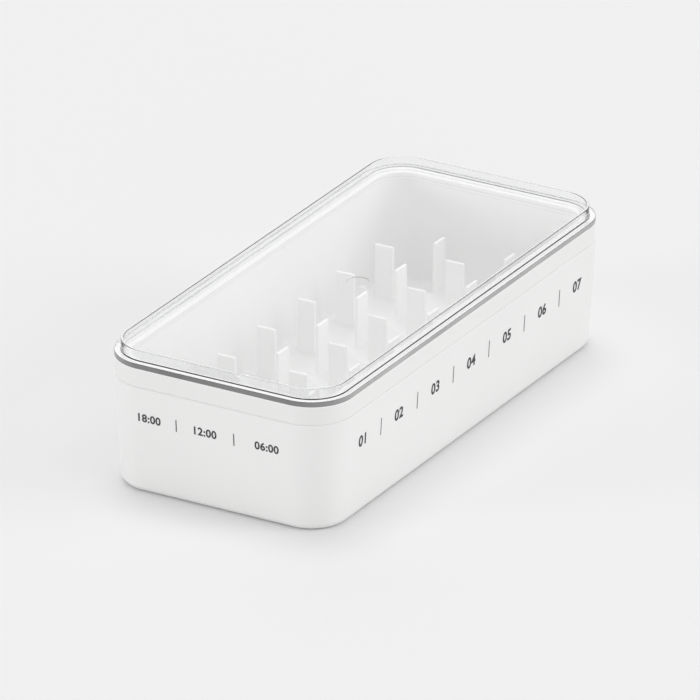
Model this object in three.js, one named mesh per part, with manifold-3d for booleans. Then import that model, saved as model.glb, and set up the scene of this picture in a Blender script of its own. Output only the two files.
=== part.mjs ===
// A weekly pill dispenser: a tapered white base box, a white insert of 21 round bowls parted by
// upright fins, and a clear lid that rests on the collar of the insert. All three lift straight up.
// Millimetres, +Z up. The origin is on the resting surface, under the middle of the box.
// The long sides run along Y: seven rows, one for each day. The short sides run along X: three columns.
import * as THREE from 'three';
import Module from 'manifold-3d';
import { mergeVertices } from 'three/addons/utils/BufferGeometryUtils.js';

// Driving dimensions of the whole box
const boxLength = 200;
const boxWidth = 92.4;
const cornerRadius = 16;
const rimHeight = 40.6;

// Fits between the pieces
const seatGap = 0.3;
const sideClearance = 0.4;

// Base box: a tapered shell on a foot ring
const base = {
  wall: 1.8,
  taper: 2.2,
  floor: 1.8,
  footHeight: 1.2,
  footWidth: 1.6,
  bottomFillet: 3,
  insideFillet: 1.2,
  rimRound: 0.3,
};

// Collar and wall of the insert
const collar = {
  height: 6.3,
  setBack: 0.4,
  rimWidth: 5.6,
  top: 1.6,
  lapWidth: 1.1,
  lapDepth: 2.4,
  wall: 1.5,
  wallTaper: 2,
  wallFoot: 5.4,
  edgeRound: 0.4,
};

// Bowls and fins
const rows = 7;
const columns = 3;
const bowl = {
  radius: 23.6,
  shell: 1.4,
  bottom: 4.9,
  ridgeTop: 15.2,
  endCut: 4.6,
  sideCut: 5,
};
const fin = {
  top: 29,
  width: 7.5,
  footThickness: 1.5,
  tipThickness: 1.1,
  tipTaper: 0.2,
};

// Clear lid
const lid = {
  plate: 1.9,
  ribInset: 2.3,
  ribHeight: 4,
  ribFoot: 1.1,
  ribTip: 0.9,
  edgeRound: 0.25,
};
const gate = { radius: 4.6, depth: 0.2, wallSlope: 0.7 };

// Levels worked out from the sizes above
const collarFoot = rimHeight + seatGap;
const collarTop = collarFoot + collar.height;
const lidSeat = collarTop + seatGap;
const plateTop = lidSeat + lid.plate;
const wallInsetAtTop = collar.setBack + collar.rimWidth;
const bowlCentre = bowl.bottom + bowl.radius;

// The bowls share out the floor, and the wall cuts into the outer ones by the end cut and the side cut.
const floorInset = wallInsetAtTop + collar.wallTaper;
const rowPitch = (boxLength - 2 * (floorInset - bowl.endCut)) / rows;
const columnPitch = (boxWidth - 2 * (floorInset - bowl.sideCut)) / columns;

// Curve steps
const cornerSteps = 8;
const filletSteps = 3;
const bowlSteps = 20;
const bowlRings = 5;
const shellSteps = 12;
const shellRings = 3;
const gateSteps = 32;
const quarterTurn = Math.PI / 2;

// How far a cutting shape runs past the face it cuts, and two shares that keep the meshes sound:
// the least corner radius as a share of the half width, and the weld distance as a share of a gap.
const overrun = 0.5;
const leastRadiusShare = 0.1;
const weldShare = 0.001;

const wasm = await Module();
wasm.setup();

const range = (count) => [...Array(count).keys()];

// One ring: the outline of the box moved inwards by an inset, at one height, as a list of points.
function ringPoints([inset, height]) {
  const halfX = boxWidth / 2 - inset;
  const halfY = boxLength / 2 - inset;
  const radius = Math.max(cornerRadius - inset, Math.min(halfX, halfY) * leastRadiusShare);
  const corners = [[1, 1], [-1, 1], [-1, -1], [1, -1]];
  return corners.flatMap(([signX, signY], corner) => range(cornerSteps + 1).map((step) => {
    const angle = (corner + step / cornerSteps) * quarterTurn;
    const x = signX * (halfX - radius) + radius * Math.cos(angle);
    const y = signY * (halfY - radius) + radius * Math.sin(angle);
    return new THREE.Vector3(x, y, height);
  }));
}

// Triangles of the band between two rings of the same count.
function bandFaces(lower, upper, count) {
  return range(count).flatMap((i) => {
    const j = (i + 1) % count;
    return [lower + i, lower + j, upper + j, lower + i, upper + j, upper + i];
  });
}

function geometryOf(points, faces) {
  const geometry = new THREE.BufferGeometry();
  geometry.setAttribute('position', new THREE.Float32BufferAttribute(
    points.flatMap((p) => p.toArray()), 3));
  geometry.setIndex(faces);
  return geometry;
}

// A solid turned round the box outline: the profile starts under the middle, runs out, up and back in
// over the middle. Each profile point is an inset and a height, and both ends close on a centre point.
function solidOfRings(profile) {
  const rings = profile.map(ringPoints);
  const count = rings[0].length;
  const points = rings.flat();
  const faces = range(profile.length - 1).flatMap(
    (k) => bandFaces(k * count, (k + 1) * count, count));
  const bottom = points.length;
  const top = bottom + 1;
  points.push(new THREE.Vector3(0, 0, profile[0][1]));
  points.push(new THREE.Vector3(0, 0, profile[profile.length - 1][1]));
  const last = (profile.length - 1) * count;
  range(count).forEach((i) => {
    const j = (i + 1) % count;
    faces.push(bottom, j, i, top, last + i, last + j);
  });
  return geometryOf(points, faces);
}

// A frame round the box outline: the closed profile goes round its own section, outside face upwards.
function frameOfRings(profile) {
  const rings = profile.map(ringPoints);
  const count = rings[0].length;
  const faces = range(profile.length).flatMap(
    (k) => bandFaces(k * count, ((k + 1) % profile.length) * count, count));
  return geometryOf(rings.flat(), faces);
}

// Points of a rounded edge in a profile, from one angle to another about its centre.
function roundedEdge([inset, height], radius, from, to) {
  return range(filletSteps + 1).map((step) => {
    const angle = from + (to - from) * (step / filletSteps);
    return [inset - radius * Math.cos(angle), height + radius * Math.sin(angle)];
  });
}

function toManifold(geometry) {
  const bare = geometry.clone();
  bare.deleteAttribute('normal');
  bare.deleteAttribute('uv');
  const merged = mergeVertices(bare, seatGap * weldShare);
  return new wasm.Manifold(new wasm.Mesh({
    numProp: 3,
    vertProperties: new Float32Array(merged.attributes.position.array),
    triVerts: new Uint32Array(merged.index.array),
  }));
}

function fromManifold(solid) {
  const mesh = solid.getMesh();
  const geometry = new THREE.BufferGeometry();
  geometry.setAttribute('position', new THREE.BufferAttribute(mesh.vertProperties, 3));
  geometry.setIndex(new THREE.BufferAttribute(mesh.triVerts, 1));
  return geometry;
}

const joined = (solids) => solids.reduce((whole, solid) => whole.add(solid));

// How far the tapered outer wall of the base is inside the box outline at a height.
const baseInset = (height) => base.taper * (1 - height / rimHeight);

// How far the inner face of the insert's wall is inside the box outline at a height.
const wallInset = (height) => wallInsetAtTop
  + collar.wallTaper * ((collarTop - height) / (collarTop - collar.wallFoot));

// Base box: recessed underside, foot ring sloped at 45 degrees inside, filleted and tapered outside,
// flat rim with rounded edges, open inside with a filleted floor.
function baseBox() {
  const footInset = base.taper + base.bottomFillet;
  const floorTop = base.footHeight + base.floor;
  const insideFoot = baseInset(floorTop) + base.wall;
  const rimLevel = rimHeight - base.rimRound;
  const profile = [
    [footInset + base.footWidth + base.footHeight, base.footHeight],
    [footInset + base.footWidth, 0],
    ...roundedEdge([footInset, base.bottomFillet], base.bottomFillet, -quarterTurn, 0),
    ...roundedEdge([baseInset(rimLevel) + base.rimRound, rimLevel], base.rimRound, 0, quarterTurn),
    ...roundedEdge([base.wall - base.rimRound, rimLevel], base.rimRound, quarterTurn, 2 * quarterTurn),
    ...roundedEdge([insideFoot + base.insideFillet, floorTop + base.insideFillet],
      -base.insideFillet, 2 * quarterTurn, quarterTurn),
  ];
  return solidOfRings(profile);
}

// Collar, lap and wall of the insert as one folded section. The lap drops inside the rim of the base.
function insertWall() {
  const outside = collar.setBack;
  const lapOutside = base.wall + sideClearance;
  const lapInside = lapOutside + collar.lapWidth;
  const lapFoot = collarFoot - collar.lapDepth;
  const underRim = collarTop - collar.top;
  const topLevel = collarTop - collar.edgeRound;
  const outerEdge = [outside + collar.edgeRound, topLevel];
  const innerEdge = [wallInset(topLevel) - collar.edgeRound, topLevel];
  const profile = [
    [outside, collarFoot],
    ...roundedEdge(outerEdge, collar.edgeRound, 0, quarterTurn),
    ...roundedEdge(innerEdge, collar.edgeRound, quarterTurn, 2 * quarterTurn),
    [wallInset(collar.wallFoot), collar.wallFoot],
    [wallInset(collar.wallFoot) - collar.wall, collar.wallFoot],
    [wallInset(underRim) - collar.wall, underRim],
    [lapInside, underRim],
    [lapInside, lapFoot],
    [lapOutside, lapFoot],
    [lapOutside, collarFoot],
  ];
  return frameOfRings(profile);
}

// A ball's lower cap, closed flat on top: one bowl's inside or outside, about the middle of the bowl.
function ballCap(radius, capTop, steps, rings) {
  const reach = Math.acos((bowlCentre - capTop) / radius);
  const arc = range(rings + 1).map((ring) => {
    const angle = reach * (ring / rings);
    return new THREE.Vector2(radius * Math.sin(angle), bowlCentre - radius * Math.cos(angle));
  });
  const cap = new THREE.LatheGeometry([...arc, new THREE.Vector2(0, capTop)], steps);
  return cap.rotateX(quarterTurn);
}

// Middles of the bowls, and of the borders between them.
const spread = (count, pitch) => range(count).map((i) => (i - (count - 1) / 2) * pitch);
const bowlMiddles = spread(rows, rowPitch).flatMap(
  (y) => spread(columns, columnPitch).map((x) => [x, y]));
const rowBorders = spread(rows - 1, rowPitch).flatMap(
  (y) => spread(columns, columnPitch).map((x) => [x, y]));
const columnBorders = spread(rows, rowPitch).flatMap(
  (y) => spread(columns - 1, columnPitch).map((x) => [x, y]));

// The floor of the insert: a thin shell of bowls that meet in arched ridges.
function bowlFloor() {
  const skin = collar.wall / 2;
  const block = toManifold(solidOfRings([
    [wallInset(0) - skin, 0],
    [wallInset(bowl.ridgeTop) - skin, bowl.ridgeTop],
  ]));
  const outside = toManifold(ballCap(bowl.radius + bowl.shell, bowl.ridgeTop + overrun,
    shellSteps, shellRings));
  const inside = toManifold(ballCap(bowl.radius, bowl.ridgeTop + overrun, bowlSteps, bowlRings));
  const shells = joined(bowlMiddles.map(([x, y]) => outside.translate(x, y, 0)));
  const hollows = joined(bowlMiddles.map(([x, y]) => inside.translate(x, y, 0)));
  return block.intersect(shells).subtract(hollows);
}

// One upright fin, thinner and a little narrower at its tip, rooted in the ridge below it.
function finSolid(pitch, alongX) {
  const ridge = bowlCentre - Math.sqrt(bowl.radius ** 2 - (pitch / 2) ** 2);
  const foot = ridge - bowl.shell / 2;
  const geometry = new THREE.BoxGeometry(1, 1, 1);
  const position = geometry.attributes.position;
  range(position.count).forEach((i) => {
    const atTip = position.getZ(i) > 0;
    const along = position.getX(i) * (atTip ? fin.width - fin.tipTaper : fin.width);
    const across = position.getY(i) * (atTip ? fin.tipThickness : fin.footThickness);
    position.setXYZ(i, alongX ? along : -across, alongX ? across : along, atTip ? fin.top : foot);
  });
  return toManifold(geometry);
}

function compartmentInsert() {
  const rowFin = finSolid(rowPitch, true);
  const columnFin = finSolid(columnPitch, false);
  const fins = [
    ...rowBorders.map(([x, y]) => rowFin.translate(x, y, 0)),
    ...columnBorders.map(([x, y]) => columnFin.translate(x, y, 0)),
  ];
  return fromManifold(joined([toManifold(insertWall()), bowlFloor(), ...fins]));
}

// The shallow round mark that moulding leaves in the underside of the lid.
function gateRecess() {
  const roof = lidSeat + gate.depth;
  return toManifold(new THREE.LatheGeometry([
    new THREE.Vector2(0, lidSeat - overrun),
    new THREE.Vector2(gate.radius, lidSeat - overrun),
    new THREE.Vector2(gate.radius, lidSeat),
    new THREE.Vector2(gate.radius - gate.wallSlope, roof),
    new THREE.Vector2(0, roof),
  ], gateSteps).rotateX(quarterTurn));
}

// Clear lid: a flat plate that rests on the collar, with a thin raised rib round its top.
function clearLid() {
  const ribTop = plateTop + lid.ribHeight;
  const round = lid.edgeRound;
  const ribLean = (lid.ribFoot - lid.ribTip) / 2;
  const ribOutside = lid.ribInset + ribLean;
  const profile = [
    ...roundedEdge([round, lidSeat + round], round, -quarterTurn, 0),
    ...roundedEdge([round, plateTop - round], round, 0, quarterTurn),
    [lid.ribInset, plateTop],
    ...roundedEdge([ribOutside + round, ribTop - round], round, 0, quarterTurn),
    ...roundedEdge([ribOutside + lid.ribTip - round, ribTop - round], round,
      quarterTurn, 2 * quarterTurn),
    [lid.ribInset + lid.ribFoot, plateTop],
  ];
  return fromManifold(toManifold(solidOfRings(profile)).subtract(gateRecess()));
}

const whitePlastic = new THREE.MeshStandardMaterial({ color: 0xf1f1f0, roughness: 0.5, metalness: 0 });
const insertPlastic = new THREE.MeshStandardMaterial({ color: 0xf3f3f2, roughness: 0.5, metalness: 0 });
const clearPlastic = new THREE.MeshStandardMaterial({
  color: 0xf6f8f9, roughness: 0.05, metalness: 0, transparent: true, opacity: 0.25,
});

function piece(name, geometry, material) {
  geometry.computeVertexNormals();
  const mesh = new THREE.Mesh(geometry, material);
  mesh.name = name;
  return mesh;
}

const dispenser = new THREE.Group();
dispenser.add(piece('base_box', baseBox(), whitePlastic));
dispenser.add(piece('compartment_insert', compartmentInsert(), insertPlastic));
dispenser.add(piece('lid', clearLid(), clearPlastic));

export default dispenser;
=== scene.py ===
"""A weekly pill dispenser: its moulded surfaces, finishes and printed marks, in a pale studio.

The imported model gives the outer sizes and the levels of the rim, the collar and the lid. Lengths are metres,
and a size times MM is written in millimetres. The long sides run along Y, and +X is the long side that
carries the marks of the days.
"""

import logging
from dataclasses import dataclass, field
from enum import Enum

import bpy
import numpy as np
from bpy.types import Material, Mesh, Node, NodeSocket, Object, World
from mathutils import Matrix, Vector


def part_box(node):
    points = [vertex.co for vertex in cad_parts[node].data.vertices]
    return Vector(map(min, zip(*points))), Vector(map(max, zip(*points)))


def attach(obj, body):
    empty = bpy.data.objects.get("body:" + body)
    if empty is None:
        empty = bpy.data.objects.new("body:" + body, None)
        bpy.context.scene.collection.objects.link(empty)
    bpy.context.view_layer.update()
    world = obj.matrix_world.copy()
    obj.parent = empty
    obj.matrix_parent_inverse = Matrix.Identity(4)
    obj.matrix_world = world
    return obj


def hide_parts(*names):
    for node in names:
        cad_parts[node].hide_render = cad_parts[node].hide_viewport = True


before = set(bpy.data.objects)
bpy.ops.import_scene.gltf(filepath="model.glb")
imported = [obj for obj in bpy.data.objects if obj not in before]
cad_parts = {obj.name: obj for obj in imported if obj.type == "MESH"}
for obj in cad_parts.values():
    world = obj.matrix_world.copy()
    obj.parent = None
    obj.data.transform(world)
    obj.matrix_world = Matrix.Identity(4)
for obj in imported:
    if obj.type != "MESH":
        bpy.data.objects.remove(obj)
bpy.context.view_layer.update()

MM = 0.001
LOG = logging.getLogger("pill_dispenser")

Colour = tuple[float, float, float]
Skin = tuple[np.ndarray, list[np.ndarray]]


class Body(Enum):
    """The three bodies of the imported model."""

    BASE = "base"
    INSERT = "insert"
    COVER = "cover"


class Slot(Enum):
    """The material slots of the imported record."""

    SHELL = "white_shell"
    INSERT = "white_insert"
    LID = "clear_lid"
    INK = "print_ink"


@dataclass
class Profile:
    """A wall's section as rows of inset and height, drawn from under the middle outwards, up and back in.

    An inset is the distance inside the outline of the box. An angle of 0 degrees points outwards and 90
    points up.
    """

    rows: list[np.ndarray] = field(default_factory=list)

    def to(self, inset: float, height: float) -> None:
        """Adds one point at a distance inside the outline and a height above the table."""
        self.rows.append(np.array([[inset, height]]))

    def turn(self, inset: float, height: float, radius: float, start: float, stop: float,
             steps: int = 5) -> None:
        """Adds an arc: the centre, moved outwards by the cosine and upwards by the sine of the angle.

        Args:
            inset: Inset of the arc's centre.
            height: Height of the arc's centre.
            radius: Radius of the arc.
            start: First angle in degrees.
            stop: Last angle in degrees.
            steps: Number of straight steps on the arc.
        """
        angle = np.radians(np.linspace(start, stop, steps + 1))
        arc = np.stack([inset - radius * np.cos(angle), height + radius * np.sin(angle)], axis=1)
        self.rows.append(arc)

    def points(self) -> np.ndarray:
        """Gives all rows as one array of insets and heights."""
        return np.vstack(self.rows)


@dataclass(frozen=True, eq=False)
class Outline:
    """The rounded rectangle that every level of the box follows, seen from above.

    A ring at an inset is the skeleton, a rectangle through the centres of the corners, pushed out along
    the outline's normals by the corner radius less the inset.
    """

    skeleton: np.ndarray
    normals: np.ndarray
    corner: float

    @classmethod
    def of_box(cls, half: np.ndarray, corner: float, arc_steps: int = 24, side_steps: int = 12) -> "Outline":
        """Makes the outline of a box, counter-clockwise from above.

        Args:
            half: Half the width and half the length.
            corner: Radius of the corners.
            arc_steps: Steps on each corner.
            side_steps: Steps on each straight side.

        Returns:
            The outline.
        """
        signs = np.array([[1, 1], [-1, 1], [-1, -1], [1, -1]])
        centres = signs * (half - corner)
        following = np.roll(centres, -1, axis=0)
        turn = np.linspace(0, np.pi / 2, arc_steps + 1)
        run = np.linspace(0, 1, side_steps + 1)[1:-1, None]
        skeleton, angles = [], []
        for quarter in range(4):
            side = centres[quarter] + run * (following[quarter] - centres[quarter])
            skeleton += [np.repeat(centres[quarter:quarter + 1], len(turn), axis=0), side]
            angles += [turn + quarter * np.pi / 2, np.full(len(run), (quarter + 1) * np.pi / 2)]
        angle = np.concatenate(angles)
        return cls(np.vstack(skeleton), np.stack([np.cos(angle), np.sin(angle)], axis=1), corner)

    def rings(self, profile: np.ndarray) -> np.ndarray:
        """Carries a section round the outline.

        Args:
            profile: Rows of inset and height.

        Returns:
            Points, one row of the array for each row of the profile.
        """
        reach = self.corner - profile[:, 0]
        plan = self.skeleton + reach[:, None, None] * self.normals
        height = np.broadcast_to(profile[:, 1, None, None], (*plan.shape[:2], 1))
        return np.concatenate([plan, height], axis=2)

    def round_core(self) -> "Outline":
        """Makes an outline that shrinks to a point and shares this one's bearings.

        Its ring at an inset of minus a radius is the circle of that radius.

        Returns:
            The outline.
        """
        plan = self.skeleton + self.corner * self.normals
        bearings = plan / np.linalg.norm(plan, axis=1, keepdims=True)
        return Outline(np.zeros_like(plan), bearings, 0.0)


def band_faces(rings: np.ndarray) -> np.ndarray:
    """Joins each ring of vertex numbers to the next by four-sided faces that point outwards.

    Args:
        rings: Vertex numbers, one row for each closed ring, in the order of a profile.

    Returns:
        Vertex numbers of the faces, four in a row.
    """
    lower, upper = rings[:-1], rings[1:]
    faces = np.stack([lower, np.roll(lower, -1, 1), np.roll(upper, -1, 1), upper], axis=2)
    return faces.reshape(-1, 4)


def fan_faces(ring: np.ndarray, centre: int) -> np.ndarray:
    """Closes a counter-clockwise ring with triangles that point up.

    Args:
        ring: Vertex numbers of the ring.
        centre: Vertex number of its middle.

    Returns:
        Vertex numbers of the faces, three in a row.
    """
    return np.stack([ring, np.roll(ring, -1), np.full_like(ring, centre)], axis=1)


def closed_skin(rings: np.ndarray) -> Skin:
    """Joins rings to a skin and closes its first and last ring by fans to points on the upright axis.

    Args:
        rings: Points, one row of the array for each ring, in the order of a profile.

    Returns:
        The skin's points and its faces.
    """
    numbers = np.arange(rings[..., 0].size).reshape(rings.shape[:2])
    first = numbers.size
    last = first + 1
    middles = np.array([[0, 0, rings[0, 0, 2]], [0, 0, rings[-1, 0, 2]]])
    faces = [band_faces(numbers), fan_faces(numbers[0][::-1], first), fan_faces(numbers[-1], last)]
    return np.vstack([rings.reshape(-1, 3), middles]), faces


def mesh_piece(name: str, points: np.ndarray, faces: list[np.ndarray], rounded: bool = True) -> Object:
    """Puts whole arrays of points and faces into a mesh, in place in the model's frame.

    On a rounded piece, large faces set the shading of the edges beside them, so that its flats look flat.

    Args:
        name: Name of the piece.
        points: Places of the vertices, three in a row.
        faces: Arrays of faces, each with one number of corners.
        rounded: Whether the shading runs smoothly from face to face.

    Returns:
        The new object, linked to the scene.
    """
    mesh = bpy.data.meshes.new(name)
    mesh.from_pydata(points.tolist(), [], [row for block in faces for row in block.tolist()])
    mesh.polygons.foreach_set("use_smooth", np.full(len(mesh.polygons), rounded))
    mesh.update()
    piece = bpy.data.objects.new(name, mesh)
    bpy.context.scene.collection.objects.link(piece)
    if rounded:
        even = piece.modifiers.new("even_flats", "WEIGHTED_NORMAL")
        even.mode = "FACE_AREA"
        even.weight = 100
        even.thresh = 0.0001
    return piece


class Wiring:
    """The nodes of one material or of the sky, wired from an empty tree."""

    def __init__(self, owner: Material | World) -> None:
        """Empties the owner's node tree.

        Args:
            owner: The material or world that the nodes belong to.
        """
        owner.use_nodes = True
        self.tree = owner.node_tree
        self.tree.nodes.clear()

    def node(self, kind: str, inputs: dict[str | int, object] | None = None,
             **settings: object) -> Node:
        """Adds a node.

        Args:
            kind: The node's type.
            inputs: What its inputs get, by name or number: a socket to link or a value to hold.
            **settings: Attributes of the node, set as given.

        Returns:
            The node.
        """
        made = self.tree.nodes.new(kind)
        for name, value in settings.items():
            setattr(made, name, value)
        for name, value in (inputs or {}).items():
            if isinstance(value, NodeSocket):
                self.tree.links.new(value, made.inputs[name])
            else:
                made.inputs[name].default_value = value
        return made

    def arithmetic(self, operation: str, *values: NodeSocket | float) -> NodeSocket:
        """Adds one step of arithmetic.

        Args:
            operation: Name of the step.
            *values: Its sockets or numbers, in order.

        Returns:
            The result.
        """
        step = self.node("ShaderNodeMath", dict(enumerate(values)), operation=operation)
        return step.outputs["Value"]


class Finish(Wiring):
    """A procedural material in the making, with the object's own coordinates at hand.

    Noise hardly leaves the range between its low and its high value, so that range is what gets spread.
    """

    noise_low = 0.3
    noise_high = 0.7

    def __init__(self, name: str) -> None:
        """Starts an empty material.

        Args:
            name: Name of the material.
        """
        self.made = bpy.data.materials.new(name)
        super().__init__(self.made)
        self.place = self.node("ShaderNodeTexCoord").outputs["Object"]

    def noise(self, size: float, layers: int = 2) -> NodeSocket:
        """Adds smooth noise over the piece.

        Args:
            size: Width of one blotch, in metres.
            layers: Number of finer layers over it.

        Returns:
            The noise, from 0 to 1.
        """
        inputs = {"Vector": self.place, "Scale": 1 / size, "Detail": layers}
        return self.node("ShaderNodeTexNoise", inputs).outputs["Fac"]

    def spread(self, source: NodeSocket, low: float, high: float) -> NodeSocket:
        """Spreads the middle of a noise over a range.

        Args:
            source: The noise.
            low: Value where the noise is low.
            high: Value where the noise is high.

        Returns:
            The new value.
        """
        inputs = {"Value": source, "From Min": self.noise_low, "From Max": self.noise_high,
                  "To Min": low, "To Max": high}
        return self.node("ShaderNodeMapRange", inputs).outputs["Result"]

    def blend(self, source: NodeSocket, first: Colour, second: Colour) -> NodeSocket:
        """Blends two colours by a noise.

        Args:
            source: The noise.
            first: Colour where the noise is low.
            second: Colour where the noise is high.

        Returns:
            The colour.
        """
        inputs = {"Factor": self.spread(source, 0, 1), "A": (*first, 1), "B": (*second, 1)}
        return self.node("ShaderNodeMix", inputs, data_type="RGBA").outputs["Result"]

    def grain(self, source: NodeSocket, depth: float, strength: float = 1.0,
              under: NodeSocket | None = None) -> NodeSocket:
        """Turns a noise into fine relief.

        Args:
            source: The noise.
            depth: Height of the relief, in metres.
            strength: Share of the relief that shows.
            under: Relief that this one is laid over.

        Returns:
            The bent normal.
        """
        inputs = {"Height": source, "Distance": depth, "Strength": strength}
        if under is not None:
            inputs["Normal"] = under
        return self.node("ShaderNodeBump", inputs).outputs["Normal"]

    def plastic(self, inputs: dict[str, object]) -> NodeSocket:
        """Adds the shader that all the plastics and the ink use, with what its inputs get, by name."""
        return self.node("ShaderNodeBsdfPrincipled", inputs).outputs["BSDF"]

    def let_light_through(self, shown: NodeSocket) -> NodeSocket:
        """Lets light on its way to a matt surface pass straight through a clear shader.

        What the lens sees through it is still bent, and what is under it is lit evenly.

        Args:
            shown: The shader that bends light.

        Returns:
            The mixed shader.
        """
        through = self.node("ShaderNodeBsdfTransparent").outputs["BSDF"]
        path = self.node("ShaderNodeLightPath")
        for kind in ("Is Diffuse Ray", "Is Shadow Ray"):
            mix = self.node("ShaderNodeMixShader", {"Fac": path.outputs[kind], 1: shown, 2: through})
            shown = mix.outputs["Shader"]
        return shown

    def material(self, shader: NodeSocket) -> Material:
        """Puts the shader on the surface and gives the finished material."""
        self.node("ShaderNodeOutputMaterial", {"Surface": shader})
        return self.made


@dataclass(frozen=True)
class MouldedPlastic:
    """Opaque moulded plastic: faint mottling, an even satin grain and a soft sink of the broad faces.

    The colour swings between two shades over centimetres, and the roughness over millimetres.
    """

    name: str
    pale: Colour
    deep: Colour
    smooth: float
    rough: float
    bend: float = 1.49
    mottle: float = 42 * MM
    patch: float = 9 * MM
    patch_layers: int = 4
    grain: float = 0.35 * MM
    grain_layers: int = 3
    grain_depth: float = 0.004 * MM
    grain_share: float = 0.6
    sink: float = 30 * MM
    sink_depth: float = 0.02 * MM

    def material(self) -> Material:
        """Lays mottling over the colour, patches over the roughness, and the grain over the sink.

        Returns:
            The material.
        """
        finish = Finish(self.name)
        sunk = finish.grain(finish.noise(self.sink, layers=0), self.sink_depth)
        grain = finish.noise(self.grain, self.grain_layers)
        return finish.material(finish.plastic({
            "Base Color": finish.blend(finish.noise(self.mottle), self.deep, self.pale),
            "Roughness": finish.spread(finish.noise(self.patch, self.patch_layers), self.smooth, self.rough),
            "Normal": finish.grain(grain, self.grain_depth, self.grain_share, sunk),
            "IOR": self.bend,
        }))


@dataclass(frozen=True)
class ClearPlastic:
    """Clear moulded plastic that bends light, with a faint flow ripple and a hint of haze in patches.

    Lamps shine straight through it, so that what is under it is lit evenly.
    """

    name: str
    colour: Colour = (0.985, 0.99, 0.99)
    bend: float = 1.49
    clear: float = 0.0
    hazed: float = 0.008
    patch: float = 14 * MM
    patch_layers: int = 3
    ripple: float = 24 * MM
    ripple_layers: int = 1
    ripple_depth: float = 0.006 * MM

    def material(self) -> Material:
        """Lays patches of haze over the roughness and the flow ripple over the normal.

        Returns:
            The material.
        """
        finish = Finish(self.name)
        return finish.material(finish.let_light_through(finish.plastic({
            "Base Color": (*self.colour, 1),
            "Roughness": finish.spread(finish.noise(self.patch, self.patch_layers), self.clear, self.hazed),
            "Normal": finish.grain(finish.noise(self.ripple, self.ripple_layers), self.ripple_depth),
            "IOR": self.bend,
            "Transmission Weight": 1.0,
        })))


@dataclass(frozen=True)
class HazedEdgeWithPaintedShade:
    """The outer edge of the clear plate, hazed where the two halves of the mould met, with painted shade in
    its grey.

    Its grey is painted shade and light: darker on the short sides and paler on the long ones, standing in for
    how light falls through the edge. A corner passes from one to the other by the share of the way out across:
    how far a point is beyond the middle of the corner in X, over how far it is beyond it in X and Y together.
    """

    name: str
    corner_middle: np.ndarray
    haze: float = 0.5
    # painted shade and light: the edge's grey on the short sides and on the long sides
    painted_short_side_shade: float = 0.38
    painted_long_side_light: float = 0.86
    roughness: float = 0.1
    bend: float = 1.49
    patch: float = 40 * MM
    patch_layers: int = 3
    swing: float = 0.12

    def material(self) -> Material:
        """Works out the painted shade at each point of the edge and mixes clear and hazed plastic.

        Returns:
            The material.
        """
        finish = Finish(self.name)
        split = finish.node("ShaderNodeSeparateXYZ", {"Vector": finish.place})
        beyond = []
        for axis, middle in zip("XY", self.corner_middle):
            away = finish.arithmetic("ABSOLUTE", split.outputs[axis])
            beyond.append(finish.arithmetic("MAXIMUM", finish.arithmetic("SUBTRACT", away, middle), 0.0))
        across = finish.arithmetic("DIVIDE", beyond[0], finish.arithmetic("ADD", *beyond))
        # painted shade: the grey runs from dark on the short sides to pale on the long sides
        tone = finish.arithmetic("MULTIPLY_ADD", across, self.painted_long_side_light - self.painted_short_side_shade, self.painted_short_side_shade)
        uneven = finish.spread(finish.noise(self.patch, self.patch_layers), -self.swing, self.swing)
        tone = finish.arithmetic("ADD", tone, uneven)
        grey = finish.node("ShaderNodeCombineColor", dict.fromkeys(("Red", "Green", "Blue"), tone))
        return finish.material(finish.let_light_through(finish.plastic({
            "Base Color": grey.outputs["Color"],
            "Roughness": self.roughness,
            "IOR": self.bend,
            "Transmission Weight": 1 - self.haze,
        })))


@dataclass(frozen=True)
class PrintedInk:
    """Dark grey screen-printed ink, a little uneven in tone and matt."""

    name: str
    thick: Colour = (0.036, 0.036, 0.038)
    thin: Colour = (0.06, 0.06, 0.062)
    smooth: float = 0.55
    rough: float = 0.7
    speck: float = 0.5 * MM
    speck_layers: int = 3
    relief: float = 0.002 * MM

    def material(self) -> Material:
        """Lets one noise set tone, roughness and relief, as thick and thin ink do.

        Returns:
            The material.
        """
        finish = Finish(self.name)
        specks = finish.noise(self.speck, self.speck_layers)
        return finish.material(finish.plastic({
            "Base Color": finish.blend(specks, self.thick, self.thin),
            "Roughness": finish.spread(specks, self.smooth, self.rough),
            "Normal": finish.grain(specks, self.relief),
        }))


def hand_over(piece: Object, materials: list[Material], body: Body, slot: Slot,
              node: str | None = None) -> None:
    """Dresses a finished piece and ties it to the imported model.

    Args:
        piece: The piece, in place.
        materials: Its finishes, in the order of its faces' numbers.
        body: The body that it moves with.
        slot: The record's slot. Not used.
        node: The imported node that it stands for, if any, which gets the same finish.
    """
    for material in materials:
        piece.data.materials.append(material)
    if node is not None:
        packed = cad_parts[node]
        packed.data.materials.clear()
        packed.data.materials.append(materials[0])
        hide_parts(node)
    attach(piece, body.value)
    LOG.info("%s: %d faces, rides on %s", piece.name, len(piece.data.polygons), body.value)


@dataclass
class Box:
    """Sizes that all pieces share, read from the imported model, and the radius of the corners."""

    corner: float = 16 * MM
    half: np.ndarray = field(default_factory=lambda: np.array(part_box("base_box")[1][:2]))
    rim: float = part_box("base_box")[1][2]
    collar_top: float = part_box("compartment_insert")[1][2]
    lid_top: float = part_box("lid")[1][2]

    def outline(self) -> Outline:
        """Makes the outline at inset 0."""
        return Outline.of_box(self.half, self.corner)

    def corner_middle(self) -> np.ndarray:
        """Gives the middle of the rounded corner that lies towards +X and +Y."""
        return self.half - self.corner


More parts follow.
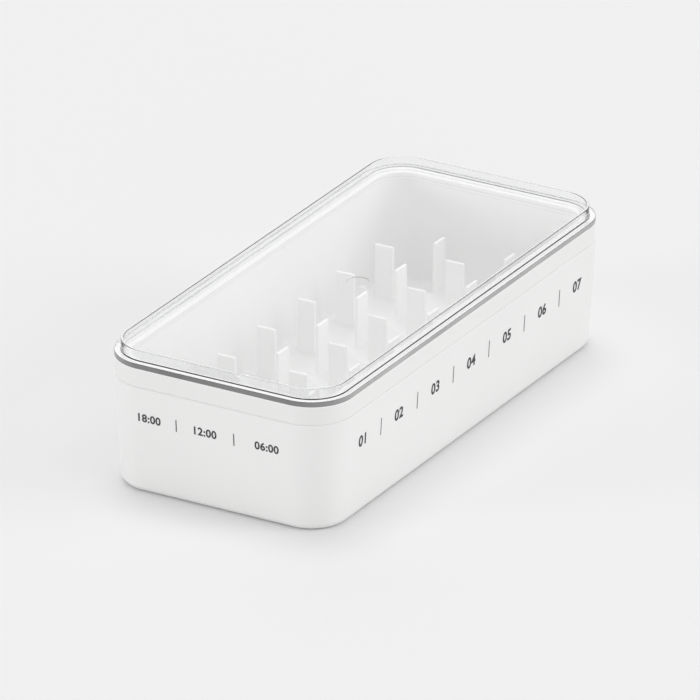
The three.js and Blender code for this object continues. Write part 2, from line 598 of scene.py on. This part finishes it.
@dataclass
class BaseShell:
    """The outer white box: foot ring, filleted foot, tapered sides and a flat rim, open inside."""

    box: Box
    wall: float = 1.8 * MM
    taper: float = 2.2 * MM
    floor: float = 1.8 * MM
    foot_height: float = 1.2 * MM
    foot_width: float = 1.6 * MM
    foot_fillet: float = 3 * MM
    inside_fillet: float = 1.2 * MM
    rim_round: float = 0.6 * MM
    foot_round: float = 0.25 * MM
    foot_steps: int = 10
    inside_steps: int = 8

    def inset(self, height: float) -> float:
        """Gives how far the tapered side is inside the outline: the taper, less its share of the height."""
        return self.taper * (1 - height / self.box.rim)

    def section(self) -> np.ndarray:
        """Draws the wall's section, from the recessed underside round the rim to the floor inside.

        Returns:
            Rows of inset and height.
        """
        foot = self.taper + self.foot_fillet
        shoulder = foot + self.foot_width
        floor_top = self.foot_height + self.floor
        inside = self.inset(floor_top) + self.wall
        edge = self.box.rim - self.rim_round
        profile = Profile()
        profile.to(shoulder + self.foot_height + 2 * self.foot_round, self.foot_height)
        profile.to(shoulder + self.foot_height, self.foot_height)
        profile.turn(shoulder, self.foot_round, self.foot_round, -135, -90)
        profile.turn(foot, self.foot_fillet, self.foot_fillet, -90, 0, self.foot_steps)
        profile.turn(self.inset(edge) + self.rim_round, edge, self.rim_round, 0, 90)
        profile.turn(self.wall - self.rim_round, edge, self.rim_round, 90, 180)
        fillet = self.inside_fillet
        profile.turn(inside + fillet, floor_top + fillet, fillet, 0, -90, self.inside_steps)
        return profile.points()

    def build(self) -> Object:
        """Carries the section round the outline and closes it under and over the middle.

        Returns:
            The piece.
        """
        return mesh_piece("base_shell", *closed_skin(self.box.outline().rings(self.section())))


@dataclass
class BowlGrid:
    """Where the bowls and fins stand: seven rows of three, parted by straight borders."""

    rows: int = 7
    columns: int = 3
    row_pitch: float = 27.6 * MM
    column_pitch: float = 28.8 * MM

    @staticmethod
    def middles(count: int, pitch: float) -> np.ndarray:
        """Spreads a count of places evenly about the middle, a pitch apart."""
        return (np.arange(count) - (count - 1) / 2) * pitch

    def pairs(self, columns: int, rows: int) -> np.ndarray:
        """Pairs a count of places across with a count of places along, all about the middle."""
        places = self.middles(columns, self.column_pitch), self.middles(rows, self.row_pitch)
        return np.stack(np.meshgrid(*places), axis=2).reshape(-1, 2)

    def bowls(self) -> np.ndarray:
        """Gives the middles of all bowls."""
        return self.pairs(self.columns, self.rows)

    def row_borders(self) -> np.ndarray:
        """Gives the middles of the borders between rows."""
        return self.pairs(self.columns, self.rows - 1)

    def column_borders(self) -> np.ndarray:
        """Gives the middles of the borders between columns."""
        return self.pairs(self.columns - 1, self.rows)


@dataclass
class Fins:
    """The 32 upright fins: thin plates with rounded edges, a little thinner and narrower at the tip."""

    grid: BowlGrid
    top: float = 29 * MM
    root: float = 8.2 * MM
    width: float = 7.5 * MM
    foot_thickness: float = 1.5 * MM
    tip_thickness: float = 1.1 * MM
    tip_taper: float = 0.2 * MM
    edge: float = 0.3 * MM
    edge_steps: int = 4

    def plate(self) -> Skin:
        """Makes one fin about the origin, with its width along X.

        Each level is a rectangle with round corners. The levels draw in over the last stretch by a
        quarter circle, which rounds the tip.

        Returns:
            Its points and its faces.
        """
        angle = np.radians(np.linspace(0, 90, self.edge_steps + 1))
        lift = np.concatenate([[0], 1 - self.edge / (self.top - self.root) * (1 - np.sin(angle))])
        draw = np.concatenate([[0], self.edge * (1 - np.cos(angle))])
        half_width = (self.width - self.tip_taper * lift) / 2 - draw
        half_depth = (self.foot_thickness + (self.tip_thickness - self.foot_thickness) * lift) / 2 - draw
        levels = []
        for width, depth, level in zip(half_width, half_depth, lift):
            half = np.array([width, depth])
            ring = Outline.of_box(half, min(self.edge, depth), self.edge_steps, side_steps=1)
            height = self.root + (self.top - self.root) * level
            levels.append(ring.rings(np.array([[0, height]])))
        return closed_skin(np.concatenate(levels))

    def build(self) -> Object:
        """Copies the fin to every border, turned a quarter on the borders between columns.

        Returns:
            The piece.
        """
        plate, faces = self.plate()
        turned = plate @ np.array([[0, 1, 0], [-1, 0, 0], [0, 0, 1]])
        copies = [plate + np.array([x, y, 0]) for x, y in self.grid.row_borders()]
        copies += [turned + np.array([x, y, 0]) for x, y in self.grid.column_borders()]
        steps = np.arange(len(copies)) * len(plate)
        blocks = [(block[None] + steps[:, None, None]).reshape(-1, block.shape[1]) for block in faces]
        return mesh_piece("insert_fins", np.vstack(copies), blocks)


@dataclass
class InsertShell:
    """The white insert: folded collar, lap, tapered wall and the thin floor of 21 round bowls."""

    box: Box
    grid: BowlGrid
    fins: Fins
    set_back: float = 0.4 * MM
    seat_gap: float = 0.02 * MM
    rim_width: float = 5.6 * MM
    top: float = 1.6 * MM
    lap_outside: float = 2.2 * MM
    lap_width: float = 1.1 * MM
    lap_depth: float = 2.4 * MM
    wall: float = 1.5 * MM
    wall_taper: float = 2 * MM
    wall_foot: float = 5.4 * MM
    edge: float = 0.45 * MM
    inner_edge: float = 0.25 * MM
    small_edge: float = 0.12 * MM
    bowl_radius: float = 23.6 * MM
    bowl_bottom: float = 4.9 * MM
    shell: float = 1.4 * MM
    peak: float = 15.3 * MM
    ridge_softness: float = 0.16 * MM
    wall_fillet: float = 1.1 * MM
    fin_fillet: float = 0.8 * MM
    floor_level: float = 9 * MM
    small_steps: int = 3
    edge_steps: int = 6
    lines_across: int = 104
    lines_along: int = 236
    fine_steps: int = 6000
    ridge_pull: float = 2.6
    ridge_width: float = 1.1 * MM
    end_pull: float = 1.0
    end_width: float = 0.6 * MM
    wall_pull: float = 4.0
    wall_width: float = 1.0 * MM

    def inset(self, height: float | np.ndarray) -> float | np.ndarray:
        """Gives the inner wall's inset: it grows evenly from the collar down to the foot of the wall."""
        share = (self.box.collar_top - height) / (self.box.collar_top - self.wall_foot)
        return self.set_back + self.rim_width + self.wall_taper * share

    def floor_corner(self) -> float:
        """Gives the radius of the floor's corners."""
        return self.box.corner - self.inset(self.floor_level)

    @staticmethod
    def bell(away: np.ndarray, width: float) -> np.ndarray:
        """Gives a bell curve: the exponential of minus the square of the distance, in widths."""
        return np.exp(-(away / width) ** 2)

    def gathered_lines(self, half: float, count: int, bowls: int, pitch: float) -> np.ndarray:
        """Places grid lines so that they crowd at the ridges, the ends of the fins and the wall.

        The density is 1 plus a bell curve at each such place. Its running sum, turned round, gives lines
        at equal steps of density.

        Args:
            half: Distance from the middle to the wall.
            count: Number of lines.
            bowls: Number of bowls in this direction.
            pitch: Distance from bowl to bowl.

        Returns:
            Places of the lines, from wall to wall.
        """
        ridges = self.grid.middles(bowls - 1, pitch)
        bowl_middles = self.grid.middles(bowls, pitch)
        ends = np.concatenate([bowl_middles - self.fins.width / 2, bowl_middles + self.fins.width / 2])
        fine = np.linspace(-half, half, self.fine_steps + 1)
        density = 1 + self.ridge_pull * self.bell(fine[:, None] - ridges, self.ridge_width).sum(axis=1)
        density += self.end_pull * self.bell(fine[:, None] - ends, self.end_width).sum(axis=1)
        density += self.wall_pull * self.bell(half - np.abs(fine), self.wall_width)
        total = np.concatenate([[0], np.cumsum((density[1:] + density[:-1]) / 2)])
        return np.interp(np.linspace(0, total[-1], count), total, fine)

    def plan(self) -> tuple[np.ndarray, np.ndarray]:
        """Lays the grid over the floor and rounds its corners.

        A point beyond the skeleton in both directions lies in a corner. There its share of the way out
        in one direction is scaled by the root of 1 less half the other share squared, which turns the
        square into a quarter disc.

        Returns:
            The grid's points on the skeleton, and their shares of the way out, up to 1 at the wall.
        """
        grid = self.grid
        reach = self.floor_corner()
        core = self.box.corner_middle()
        half = core + reach
        across = self.gathered_lines(half[0], self.lines_across, grid.columns, grid.column_pitch)
        along = self.gathered_lines(half[1], self.lines_along, grid.rows, grid.row_pitch)
        square = np.stack(np.meshgrid(across, along), axis=2)
        skeleton = np.clip(square, -core, core)
        share = (square - skeleton) / reach
        share = share * np.sqrt(1 - share[..., ::-1] ** 2 / 2)
        return skeleton, share

    def bowls(self, plan: np.ndarray, radius: float) -> np.ndarray:
        """Gives the height of the bowls' surface: the lowest of the balls' undersides, cut off at a peak.

        A ball's underside is its centre's height, less the root of its radius squared less the squared
        distance from its middle, seen from above. The creases are rounded: the result is the least
        height, less the softness times the log of a sum. The sum takes, for each height, the exponential
        of the least height less that height, in softnesses.

        Args:
            plan: Places seen from above.
            radius: Radius of the balls.

        Returns:
            Heights.
        """
        centre = self.bowl_bottom + self.bowl_radius
        away = ((plan[..., None, :] - self.grid.bowls()) ** 2).sum(axis=-1)
        balls = centre - np.sqrt(np.maximum(radius ** 2 - away, 0))
        heights = np.concatenate([balls, np.full((*balls.shape[:-1], 1), self.peak)], axis=-1)
        least = heights.min(axis=-1, keepdims=True)
        total = np.exp((least - heights) / self.ridge_softness).sum(axis=-1)
        return least[..., 0] - self.ridge_softness * np.log(total)

    @staticmethod
    def fillet(distance: np.ndarray, radius: float) -> np.ndarray:
        """Gives the rise of a hollow fillet: a quarter circle, flat at its radius and upright at the wall."""
        near = np.clip(radius - distance, 0, radius)
        return radius - np.sqrt(radius ** 2 - near ** 2)

    def fin_feet(self, plan: np.ndarray) -> np.ndarray:
        """Gives the rise of the floor round the fins: the fillet of the distance to the nearest fin.

        Args:
            plan: Places seen from above.

        Returns:
            Heights to add.
        """
        half = np.array([self.fins.width, self.fins.foot_thickness]) / 2
        across = np.abs(plan[..., None, :] - self.grid.row_borders()) - half
        along = np.abs(plan[..., None, :] - self.grid.column_borders()) - half[::-1]
        outside = np.concatenate([across, along], axis=-2)
        nearest = np.linalg.norm(np.maximum(outside, 0), axis=-1).min(axis=-1)
        return self.fillet(nearest, self.fin_fillet)

    def section(self) -> np.ndarray:
        """Draws the section from the foot of the wall outside, over the collar, to the wall inside.

        Returns:
            Rows of inset and height.
        """
        foot = self.box.rim + self.seat_gap
        under = self.box.collar_top - self.top
        level = self.box.collar_top - self.edge
        lap_inside = self.lap_outside + self.lap_width
        lap_foot = foot - self.lap_depth
        wall_foot = self.inset(self.wall_foot)
        small, steps = self.small_edge, self.small_steps
        profile = Profile()
        profile.turn(wall_foot - small, self.wall_foot + small, small, -180, -90, steps)
        profile.turn(wall_foot - self.wall + small, self.wall_foot + small, small, -90, 0, steps)
        profile.turn(self.inset(under) - self.wall - small, under - small, small, 180, 90, steps)
        profile.to(lap_inside + small, under)
        profile.turn(lap_inside + small, under - small, small, 90, 0, steps)
        profile.turn(lap_inside - small, lap_foot + small, small, -180, -90, steps)
        profile.turn(self.lap_outside + small, lap_foot + small, small, -90, 0, steps)
        profile.turn(self.lap_outside - small, foot - small, small, 180, 90, steps)
        profile.turn(self.set_back + small / 2, foot + small / 2, small / 2, -90, 0, steps)
        profile.turn(self.set_back + self.edge, level, self.edge, 0, 90, self.edge_steps)
        level = self.box.collar_top - self.inner_edge
        profile.turn(self.inset(level) - self.inner_edge, level, self.inner_edge, 90, 180, self.edge_steps)
        return profile.points()

    def build(self) -> Object:
        """Joins the floor's upper side, the folded section and the floor's underside into one skin.

        Returns:
            The piece.
        """
        skeleton, share = self.plan()
        plan = skeleton + self.floor_corner() * share
        to_wall = self.floor_corner() * (1 - np.linalg.norm(share, axis=2))
        upper = self.bowls(plan, self.bowl_radius) + self.fin_feet(plan)
        upper += self.fillet(to_wall, self.wall_fillet)
        lower = self.bowls(plan, self.bowl_radius + self.shell)
        numbers = np.arange(upper.size).reshape(upper.shape)
        border = np.concatenate([numbers[0, :-1], numbers[:-1, -1], numbers[-1, :0:-1], numbers[:0:-1, 0]])
        outline = Outline(skeleton.reshape(-1, 2)[border], share.reshape(-1, 2)[border], self.box.corner)
        inner = self.inner_wall(outline, upper.reshape(-1)[border])
        rings = np.concatenate([outline.rings(self.section()), inner])
        ring_numbers = 2 * upper.size + np.arange(rings[..., 0].size).reshape(rings.shape[:2])
        loops = np.vstack([upper.size + border, ring_numbers, border])
        corners = [numbers[:-1, :-1], numbers[:-1, 1:], numbers[1:, 1:], numbers[1:, :-1]]
        quads = np.stack(corners, axis=2).reshape(-1, 4)
        points = [np.dstack([plan, upper]), np.dstack([plan, lower]), rings]
        points = np.vstack([block.reshape(-1, 3) for block in points])
        return mesh_piece("insert_shell", points, [quads, quads[:, ::-1] + upper.size, band_faces(loops)])

    def inner_wall(self, outline: Outline, foot: np.ndarray, steps: int = 8) -> np.ndarray:
        """Rules the tapered inner wall from under the collar's edge down to the arched foot.

        Args:
            outline: The outline through the floor's border.
            foot: Height of the floor at each point of the border.
            steps: Number of rings.

        Returns:
            The rings, from the top down, without the two ends that other faces give.
        """
        high = self.box.collar_top - self.inner_edge
        share = np.linspace(0, 1, steps + 2)[1:-1, None]
        height = high + (foot[None] - high) * share
        reach = self.box.corner - self.inset(height)
        plan = outline.skeleton + reach[..., None] * outline.normals
        return np.concatenate([plan, height[..., None]], axis=2)


@dataclass
class ClearLid:
    """The clear lid: a flat plate that rests on the collar, with a thin raised rib round its top."""

    box: Box
    plate: float = 1.9 * MM
    rib_inset: float = 2.3 * MM
    rib_height: float = 4 * MM
    rib_foot: float = 1.1 * MM
    rib_tip: float = 0.9 * MM
    rib_round: float = 0.3 * MM
    rib_fillet: float = 0.15 * MM
    plate_round: float = 0.3 * MM
    round_steps: int = 6
    gate_radius: float = 4.6 * MM
    gate_line: float = 4.0 * MM
    gate_depth: float = 0.06 * MM
    gate_shelf_share: float = 0.8

    def gate(self) -> np.ndarray:
        """Draws the shallow round mark of the moulding gate, from its roof over a fine step to its rim.

        Returns:
            Rows of inset and height, in which the inset is minus the radius.
        """
        seat = self.box.lid_top - self.rib_height - self.plate
        roof = seat + self.gate_depth
        step = self.gate_depth / 2
        return np.array([
            [-self.gate_line + 2 * step, roof],
            [-self.gate_line + step, roof],
            [-self.gate_line - step, seat + step],
            [-self.gate_line - 2 * step, seat + self.gate_shelf_share * step],
            [-self.gate_radius, seat],
        ])

    def section(self) -> np.ndarray:
        """Draws the section from the underside, round the edge and over the rib, to the panel on top.

        Returns:
            Rows of inset and height.
        """
        plate_top = self.box.lid_top - self.rib_height
        seat = plate_top - self.plate
        rib_top = self.box.lid_top
        lean = (self.rib_foot - self.rib_tip) / 2
        edge, fillet, crown = self.plate_round, self.rib_fillet, self.rib_round
        steps = self.round_steps
        profile = Profile()
        profile.turn(edge, seat + edge, edge, -90, 0, steps)
        profile.turn(edge, plate_top - edge, edge, 0, 90, steps)
        profile.turn(self.rib_inset - fillet, plate_top + fillet, fillet, -90, -180, steps)
        profile.turn(self.rib_inset + lean + crown, rib_top - crown, crown, 0, 90, steps)
        profile.turn(self.rib_inset + lean + self.rib_tip - crown, rib_top - crown, crown, 90, 180, steps)
        profile.turn(self.rib_inset + self.rib_foot + fillet, plate_top + fillet, fillet, 0, -90, steps)
        return profile.points()

    def build(self) -> Object:
        """Carries the gate mark round the middle and the section round the outline, as one closed skin.

        The bands from half way up the lower rounding to half way up the upper one get the second finish, the
        hazed edge with painted shade.

        Returns:
            The piece.
        """
        outline, gate = self.box.outline(), self.gate()
        rings = np.concatenate([outline.round_core().rings(gate), outline.rings(self.section())])
        lid = mesh_piece("clear_lid_moulding", *closed_skin(rings))
        band = np.arange(len(lid.data.polygons)) // rings.shape[1] - len(gate)
        edge = (band >= self.round_steps // 2) & (band <= self.round_steps * 3 // 2)
        lid.data.polygons.foreach_set("material_index", edge.astype(np.int32))
        return lid


class Side(Enum):
    """A side of the base that carries marks, with its reading direction and its outward direction."""

    SHORT = ((1, 0), (0, -1))
    LONG = ((0, 1), (1, 0))


@dataclass
class Marks:
    """Plain numbers in a row on one tapered side, with an upright bar between each two.

    Each mark is flat in its own plane. It is carried to the side by its place along the side and its
    height above the table, and its thickness stands out from the side there.
    """

    base: BaseShell
    side: Side
    name: str
    words: list[str]
    places: np.ndarray
    bars: np.ndarray
    level: float
    cap: float
    bar_height: float
    bar_width: float = 0.35 * MM
    bar_corner_share: float = 0.125
    boldness: float = 0.01
    swell: float = 0.014
    tracking: float = 1.06
    curve_steps: int = 10
    weld_digits: int = 4
    half_ink: float = 0.5
    sunk: float = 0.02 * MM
    proud: float = 0.03 * MM

    def lettering(self, word: str) -> Skin:
        """Makes one number from the built-in font, centred on its own middle.

        Args:
            word: The characters.

        Returns:
            Points in the mark's own plane, and faces.
        """
        curve = bpy.data.curves.new(word, "FONT")
        curve.body = word
        curve.space_character = self.tracking
        curve.offset = self.boldness
        curve.bevel_depth = self.swell
        curve.bevel_resolution = 0
        curve.resolution_u = self.curve_steps
        curve.extrude = self.half_ink
        text = bpy.data.objects.new(word, curve)
        bpy.context.scene.collection.objects.link(text)
        solid = text.evaluated_get(bpy.context.evaluated_depsgraph_get()).to_mesh()
        points, faces = self.welded(solid)
        bpy.data.objects.remove(text)
        low, high = points.min(axis=0), points.max(axis=0)
        scale = self.cap / (high[1] - low[1])
        return (points - (low + high) / 2) * np.array([scale, scale, 1]), faces

    def welded(self, solid: Mesh) -> Skin:
        """Makes one of all corners that lie in one place, and drops faces that shrink to a line.

        Args:
            solid: The mesh, with open seams.

        Returns:
            Its points and its faces.
        """
        points = np.empty(len(solid.vertices) * 3, np.float32)
        solid.vertices.foreach_get("co", points)
        places = points.reshape(-1, 3).astype(float).round(self.weld_digits)
        points, seat = np.unique(places, axis=0, return_inverse=True)
        corners = [list(dict.fromkeys(seat.ravel()[list(face.vertices)])) for face in solid.polygons]
        return points, [np.array([face]) for face in corners if len(face) > 2]

    def bar(self) -> Skin:
        """Makes one upright bar about its own middle, with its ends square.

        Returns:
            Points in the mark's own plane, and faces.
        """
        half = np.array([self.bar_width, self.bar_height]) / 2
        outline = Outline.of_box(half, self.bar_width * self.bar_corner_share, arc_steps=2, side_steps=1)
        return closed_skin(outline.rings(np.array([[0, -self.half_ink], [0, self.half_ink]])))

    def on_side(self, flat: np.ndarray, place: float) -> np.ndarray:
        """Carries a flat mark to the tapered side.

        Args:
            flat: Points in the mark's own plane: right, up and outwards, from the middle of the ink.
            place: Distance of its middle from the middle of the side.

        Returns:
            Points in the model's frame.
        """
        right, out = np.array(self.side.value[0]), np.array(self.side.value[1])
        reach = float(np.abs(out) @ self.base.box.half)
        height = self.level + flat[:, 1]
        ink = np.where(flat[:, 2] > 0, self.proud, -self.sunk)
        plan = np.outer(place + flat[:, 0], right) + np.outer(reach - self.base.inset(height) + ink, out)
        return np.column_stack([plan, height])

    def build(self) -> Object:
        """Sets all numbers and bars of the side in one piece.

        Returns:
            The piece.
        """
        parts = [(*self.lettering(word), place) for word, place in zip(self.words, self.places)]
        parts += [(*self.bar(), place) for place in self.bars]
        points, faces, count = [], [], 0
        for flat, blocks, place in parts:
            points.append(self.on_side(flat, place))
            faces += [block + count for block in blocks]
            count += len(flat)
        return mesh_piece(self.name, np.vstack(points), faces, rounded=False)


@dataclass(frozen=True)
class Lamp:
    """A far, soft lamp. Its bearing turns from +X towards +Y, and its height is the angle over the floor.

    The spread is its width as an angle, which sets how soft its shadows are. All three are degrees.
    A lamp that isn't mirrored lights matt surfaces and leaves no white patch on the clear lid.
    """

    name: str
    energy: float
    bearing: float
    height: float
    spread: float
    mirrored: bool = False

    def direction(self) -> Vector:
        """Gives the direction in which the lamp stands, seen from the object."""
        bearing, height = np.radians(self.bearing), np.radians(self.height)
        return Vector((np.cos(bearing) * np.cos(height), np.sin(bearing) * np.cos(height), np.sin(height)))

    def hang(self) -> None:
        """Adds the lamp to the scene."""
        data = bpy.data.lights.new(self.name, "SUN")
        data.energy = self.energy
        data.angle = np.radians(self.spread)
        lamp = bpy.data.objects.new(self.name, data)
        lamp.location = self.direction()
        lamp.rotation_mode = "QUATERNION"
        lamp.rotation_quaternion = self.direction().to_track_quat("Z", "Y")
        lamp.visible_glossy = lamp.visible_transmission = self.mirrored
        bpy.context.scene.collection.objects.link(lamp)


@dataclass
class Studio:
    """A pale floor under an even sky, with soft lamps all round and a long lens at the photograph's angle."""

    backdrop: float = 0.863
    floor_colour: float = 0.865
    sky: float = 0.576
    lamps: tuple[Lamp, ...] = (
        Lamp("overhead_lamp", 0.67, 135, 75, 32),
        Lamp("high_right_lamp", 0.34, 0, 60, 40),
        Lamp("back_left_lamp", 0.19, 135, 30, 40, mirrored=True),
        Lamp("back_right_lamp", 0.56, 22, 20, 30),
        Lamp("low_front_left_lamp", 0.76, 225, 8, 24),
        Lamp("low_front_right_lamp", 0.20, 315, 8, 24),
    )
    lens: float = 613.7
    sensor: float = 36.0
    near: float = 0.1
    far: float = 200.0
    eye: tuple[float, float, float] = (1.90124, -3.30169, 1.72381)
    target: tuple[float, float, float] = (0.00015, -0.00577, 0.025)
    floor_reach: float = 30.0
    floor_level: float = -0.05 * MM
    floor_corners: int = 96

    def floor(self) -> None:
        """Lays the floor, a plain matt disc that takes the shadow."""
        bearing = np.linspace(0, 2 * np.pi, self.floor_corners, endpoint=False)
        ring = self.floor_reach * np.stack([np.cos(bearing), np.sin(bearing)], axis=1)
        plan = np.vstack([ring, [[0, 0]]])
        points = np.column_stack([plan, np.full(len(plan), self.floor_level)])
        faces = [fan_faces(np.arange(len(ring)), len(ring))]
        floor = mesh_piece("studio_floor", points, faces, rounded=False)
        finish = Finish("studio_floor_paint")
        colour = (self.floor_colour, self.floor_colour, self.floor_colour, 1)
        paint = finish.node("ShaderNodeBsdfDiffuse", {"Color": colour})
        floor.data.materials.append(finish.material(paint.outputs["BSDF"]))

    def even_sky(self) -> None:
        """Lights the scene by an even sky, and shows the backdrop's tone to the lens, gloss and glass."""
        world = bpy.data.worlds.new("studio_sky")
        wiring = Wiring(world)
        path = wiring.node("ShaderNodeLightPath")
        seen = path.outputs["Is Camera Ray"]
        for kind in ("Is Glossy Ray", "Is Transmission Ray"):
            seen = wiring.arithmetic("MAXIMUM", seen, path.outputs[kind])
        tones = {"Value": seen, "To Min": self.sky, "To Max": self.backdrop}
        strength = wiring.node("ShaderNodeMapRange", tones).outputs["Result"]
        background = wiring.node("ShaderNodeBackground", {"Color": (1, 1, 1, 1), "Strength": strength})
        wiring.node("ShaderNodeOutputWorld", {"Surface": background.outputs["Background"]})
        bpy.context.scene.world = world

    def camera(self) -> None:
        """Sets the long lens at the photograph's angle and distance."""
        data = bpy.data.cameras.new("photograph_lens")
        data.lens = self.lens
        data.sensor_width = self.sensor
        data.clip_start, data.clip_end = self.near, self.far
        camera = bpy.data.objects.new("photograph_camera", data)
        camera.location = self.eye
        camera.rotation_mode = "QUATERNION"
        camera.rotation_quaternion = (Vector(self.eye) - Vector(self.target)).to_track_quat("Z", "Y")
        bpy.context.scene.collection.objects.link(camera)
        bpy.context.scene.camera = camera

    def build(self) -> None:
        """Sets up the whole studio."""
        self.floor()
        self.even_sky()
        for lamp in self.lamps:
            lamp.hang()
        self.camera()
        bpy.context.scene.view_settings.view_transform = "Standard"
        LOG.info("studio: floor, sky, lamps and camera")


def main() -> None:
    """Builds every piece in order, dresses it and reports it, then sets up the studio."""
    logging.basicConfig(level=logging.INFO, format="%(name)s: %(message)s")
    box = Box()
    white = MouldedPlastic("white_shell_plastic", pale=(0.875, 0.875, 0.87), deep=(0.86, 0.86, 0.855),
                           smooth=0.42, rough=0.52)
    ivory = MouldedPlastic("white_insert_plastic", pale=(0.86, 0.86, 0.855), deep=(0.845, 0.845, 0.84),
                           smooth=0.55, rough=0.65)
    # painted light: the fins are paler than the insert they are moulded with, standing in for light that
    # passes through the thin plates
    thin = MouldedPlastic("fin_plastic_painted_light", pale=(0.95, 0.95, 0.945), deep=(0.935, 0.935, 0.93),
                          smooth=0.55, rough=0.65)
    base = BaseShell(box)
    hand_over(base.build(), [white.material()], Body.BASE, Slot.SHELL, "base_box")
    grid = BowlGrid()
    fins = Fins(grid)
    insert = InsertShell(box, grid, fins)
    hand_over(insert.build(), [ivory.material()], Body.INSERT, Slot.INSERT, "compartment_insert")
    hand_over(fins.build(), [thin.material()], Body.INSERT, Slot.INSERT, "compartment_insert")
    # the lid's edge gets painted shade: a darker grey on the short sides, a paler one on the long sides
    edge = HazedEdgeWithPaintedShade("clear_lid_edge_painted_shade", box.corner_middle())
    clear = [ClearPlastic("clear_lid_plastic").material(), edge.material()]
    hand_over(ClearLid(box).build(), clear, Body.COVER, Slot.LID, "lid")
    ink = [PrintedInk("dark_grey_ink").material()]
    days = Marks(base, Side.LONG, "day_numbers", words=[f"0{day}" for day in range(1, grid.rows + 1)],
                 places=grid.middles(grid.rows, 25.3 * MM), bars=grid.middles(grid.rows - 1, 25.2 * MM),
                 level=28.5 * MM, cap=4.3 * MM, bar_height=6.4 * MM)
    hours = Marks(base, Side.SHORT, "hour_numbers", words=["18:00", "12:00", "06:00"],
                  places=np.array([-25.5, -3.2, 21.2]) * MM, bars=np.array([-14.8, 8.15]) * MM,
                  level=29.3 * MM, cap=3.1 * MM, bar_height=4.6 * MM)
    for marks in (days, hours):
        hand_over(marks.build(), ink, Body.BASE, Slot.INK)
    Studio().build()


if __name__ == "__main__":
    main()
